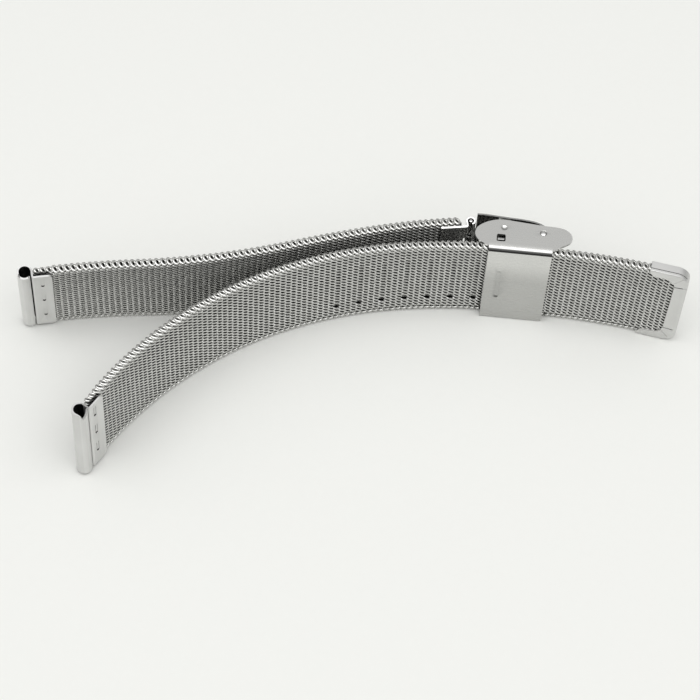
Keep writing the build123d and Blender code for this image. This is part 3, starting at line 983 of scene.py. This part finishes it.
def makeTip(look):
    half, wide, sheet, back = look["half"], look["round"], look["sheet"], look["long"]
    near = -look["near"]
    cap = slab(capOutline(look, back, 0), near, look["far"], "xzy")
    roundEdges(cap, look["fold"], look["foldSegments"], look["foldAngle"])
    combine(cap, slab(capOutline(look, back + 1, sheet), near + sheet, look["far"] - sheet, "xzy"))
    outside, inside = near - look["outside"], near + sheet + look["through"]
    combine(cap, slab(look["window"], outside, inside, "xzy"))
    roundEdges(cap, look["rounding"])
    for start, end, width in look["slits"]:
        combine(cap, slab(bentSheet([start, end], width), outside, inside, "xzy"))
    for start, end in look["mitres"]:
        mitre = bentSheet([start, end], look["mitreWidth"])
        combine(cap, slab(mitre, outside, near + look["mitreDepth"], "xzy"))
    # a crease along each side wall, painted with shade inside
    low = look["creaseLevel"] - look["creaseWidth"] / 2
    for side in (1, -1):
        path = [(-back - look["outside"], half)] + arc((-wide, half - wide), wide, 90, look["creaseEnd"], 8)
        ring = [(x, side * z) for x, z in bentSheet(path, 2 * look["creaseDepth"])]
        combine(cap, slab(ring, low, low + look["creaseWidth"], "xzy"))

    # painted shade in the crease
    def inPaintedShade(spot):
        return abs(spot.y - look["creaseLevel"]) < look["creaseWidth"] / 2 - look["creaseGap"]

    finishSheet(cap, "tipCap", endPlace(longLine), clothSteel, "tail_2", "tip_cap", inPaintedShade)


makeTip(tip)

# the short half's plate, rolled round the hinge pin at both ends of its width
endPlate = {
    "length": 5.2,
    "middle": -2.0,
    "level": 1.08,
    "sheet": 0.32,
    "roll": 0.68,
    "bend": 0.2,
    "rollEnd": -80,
    "half": 8.7,
    "gap": (-1.25, 2, -3, 3),
    "gapHalf": 5.4,
    "slope": 0.45,
    "slopeFrom": 0.01,
    "rounding": 0.06,
    "pin": 0.34,
    "pinHalf": 8.76,
    "pinDome": ((0, 0), (0.55, -0.01), (0.85, -0.06), (1, -0.16)),
}


def makeEndPlate(look):
    roll, bend, level, half = look["roll"], look["bend"], look["level"], look["half"]
    path = [(-look["length"], -level), (look["middle"], -level)]
    path += arc((-roll - bend, bend - level), bend, 270, 360, 5)
    path += arc((0, 0), roll, 180, look["rollEnd"], 50)
    plate = slab(bentSheet(path, look["sheet"]), -half, half)
    combine(plate, slab(box(*look["gap"]), -look["gapHalf"], look["gapHalf"]))
    for vertex in plate.data.vertices:
        # the top edge slopes down towards the near side
        if vertex.co.z > half - look["slopeFrom"]:
            vertex.co.z -= look["slope"] * max(0, look["sheet"] / 2 - level - vertex.co.y)
    roundEdges(plate, look["rounding"])
    place = endPlace(shortLine)
    finishSheet(plate, "endPlateSheet", place, pinSteel, "short_1", "clasp_end_plate")
    pin = turned(domedPin(look["pin"], look["pinHalf"], look["pinDome"]))
    finishSheet(pin, "hingePin", place, pinSteel, "blade", "end_hinge_pin")


makeEndPlate(endPlate)

# the blade: a thin bowed sheet, rolled round the pivot at its sides and round the hinge pin in its middle
blade = {
    "sheet": 0.28,
    "half": 8.82,
    "outline": ((-7.62, 6.58), (-6.0, 6.59), (-4.09, 6.46), (-2.2, 6.33), (-0.3, 6.25), (1.59, 6.05),
                (2.74, 5.79), (3.51, 5.46), (4.15, 4.9), (4.5, 4.1), (4.56, 3.15)),
    "outlineSteps": 5,
    "pivotRoll": 0.76,
    "pivotTurn": (-10, -250),
    "opening": (3.0, 5.67, 1, 8),
    "openHalf": 6.2,
    "hinge": (-8.596, 4.998),
    "hingeRoll": 0.66,
    "hingeTurn": (395, 62),
    "tongue": ((-7.75, -0.12), (-7.3, 0.0), (-6.6, 0.01)),  # where the roll's sheet joins the blade's
    "knuckleHalf": 4.9,
    "tab": (-3.95, -1.95, 3.95, 6.2),
    "tabCut": 0.5,
    "tabSheet": 0.35,
    "tabDrop": 0.5,
    "rounding": 0.1,
}


def makeBlade(look):
    half, sheet = look["half"], look["sheet"]
    middle = alongside(throughPoints(look["outline"], look["outlineSteps"]), -sheet / 2)
    roll = arc(slide["pivot"], look["pivotRoll"], *look["pivotTurn"], 30)
    body = slab(bentSheet(middle + roll, sheet), -half, half)
    combine(body, slab(box(*look["opening"]), -look["openHalf"], look["openHalf"]))
    tongue = arc(look["hinge"], look["hingeRoll"], *look["hingeTurn"], 40)
    tongue += [(x, middle[0][1] + y) for x, y in look["tongue"]]
    combine(body, slab(bentSheet(tongue, sheet), -look["knuckleHalf"], look["knuckleHalf"]), "UNION")
    left, right, low, high = look["tab"]
    cut = look["tabCut"]
    tab = [(left, high), (left, low + cut), (left + cut, low)]
    tab += [(right - cut, low), (right, low + cut), (right, high)]
    for level in (half - look["tabDrop"] - look["tabSheet"], look["tabDrop"] - half):
        combine(body, slab(tab, level, level + look["tabSheet"]), "UNION")
    roundEdges(body, look["rounding"])
    finishSheet(body, "foldBlade", claspPlace, shadedSteel, "blade", "fold_blade")


makeBlade(blade)

# the lock plate keeps the CAD's shape, with its edges broken
lock = {
    "merge": 0.001,
    "flatAngle": 1,
    "rounding": 0.05,
}


def makeLockPlate(look):
    shape = bmesh.new()
    shape.from_mesh(frame["nodes"]["lock_plate"].data)
    bmesh.ops.remove_doubles(shape, verts=shape.verts, dist=look["merge"] * mm)
    flat = radians(look["flatAngle"])
    bmesh.ops.dissolve_limit(shape, angle_limit=flat, verts=shape.verts, edges=shape.edges)
    mesh = bpy.data.meshes.new("lockPlate")
    shape.to_mesh(mesh)
    shape.free()
    mesh.transform(Matrix.Scale(1 / mm, 4))
    piece = addObject("lockPlate", mesh)
    roundEdges(piece, look["rounding"])
    finishSheet(piece, "lockPlate", Matrix.Identity(4), shadedSteel, "lock", "lock_plate")


makeLockPlate(lock)
print("sheet pieces made")

# floor, lamp and the room; the room's limits run from -1, down or to the front, to 1, up or to the back
studio = {
    "floorLevel": -9.55,  # in mm
    "floorSize": 3.0,
    "floorColour": (0.838, 0.843, 0.818),
    "floorRough": 0.9,
    "floorGloss": 0.1,
    "fibre": 900.0,
    "fibreDetail": 2.0,
    "fibreShade": 0.985,
    "frontRise": (0.30, 0.60),
    "frontLow": (0.08, 0.08, 0.08),
    "ceiling": (0.86, 0.86, 0.85),
    "rearRise": (0.35, 0.80),
    "rearLow": (0.30, 0.30, 0.295),
    "rearHigh": (0.70, 0.70, 0.695),
    "turn": (-0.15, 0.35),
    "lampPlace": (0.04, -0.10, 0.75),
    "lampAim": (0.04, 0.02, 0),
    "lampSize": (1.20, 0.60),
    "lampPower": 3.8,
}


def makeFloor(look):
    material, tree, shader = newMaterial("paperFloor")
    shader.inputs["Roughness"].default_value = look["floorRough"]
    shader.inputs["Specular IOR Level"].default_value = look["floorGloss"]
    where = addNode(tree, "ShaderNodeTexCoord")
    fibre = addNode(tree, "ShaderNodeTexNoise", Scale=look["fibre"], Detail=look["fibreDetail"])
    tree.links.new(where.outputs["Object"], fibre.inputs["Vector"])
    shaded = tuple(c * look["fibreShade"] for c in look["floorColour"])
    tint = mixNode(tree, fibre.outputs["Fac"], shaded, look["floorColour"])
    tree.links.new(tint, shader.inputs["Base Color"])
    half = look["floorSize"] / 2
    corners = [(x, y, look["floorLevel"] * mm) for x, y in box(-half, half, -half, half)]
    floor = newPiece("floor", corners, [(0, 1, 2, 3)], material, smooth=False)


def makeWorld(look):
    # a room with a dark front, a bright ceiling and a plain light back wall
    world = bpy.data.worlds.new("softRoom")
    bpy.context.scene.world = world
    world.use_nodes = True
    tree = world.node_tree
    where = addNode(tree, "ShaderNodeTexCoord")
    split = addNode(tree, "ShaderNodeSeparateXYZ")
    tree.links.new(where.outputs["Generated"], split.inputs["Vector"])

    def between(axis, limits, first, second):
        share = rampNode(tree, split.outputs[axis], *limits, kind="SMOOTHSTEP")
        return mixNode(tree, share, first, second)

    front = between("Z", look["frontRise"], look["frontLow"], look["ceiling"])
    rear = between("Z", look["rearRise"], look["rearLow"], look["rearHigh"])
    room = between("Y", look["turn"], front, rear)
    tree.links.new(room, tree.nodes["Background"].inputs["Color"])


def makeLamp(look):
    lamp = bpy.data.lights.new("softBoxAbove", "AREA")
    lamp.shape = "RECTANGLE"
    lamp.size, lamp.size_y = look["lampSize"]
    lamp.energy = look["lampPower"]
    holder = addObject("softBoxAbove", lamp)
    holder.location = look["lampPlace"]
    holder.rotation_mode = "QUATERNION"
    facing = Vector(look["lampAim"]) - Vector(look["lampPlace"])
    holder.rotation_quaternion = facing.to_track_quat("-Z", "Y")


makeFloor(studio)
makeWorld(studio)
makeLamp(studio)
bpy.context.scene.view_settings.view_transform = "Standard"
print("studio lit")
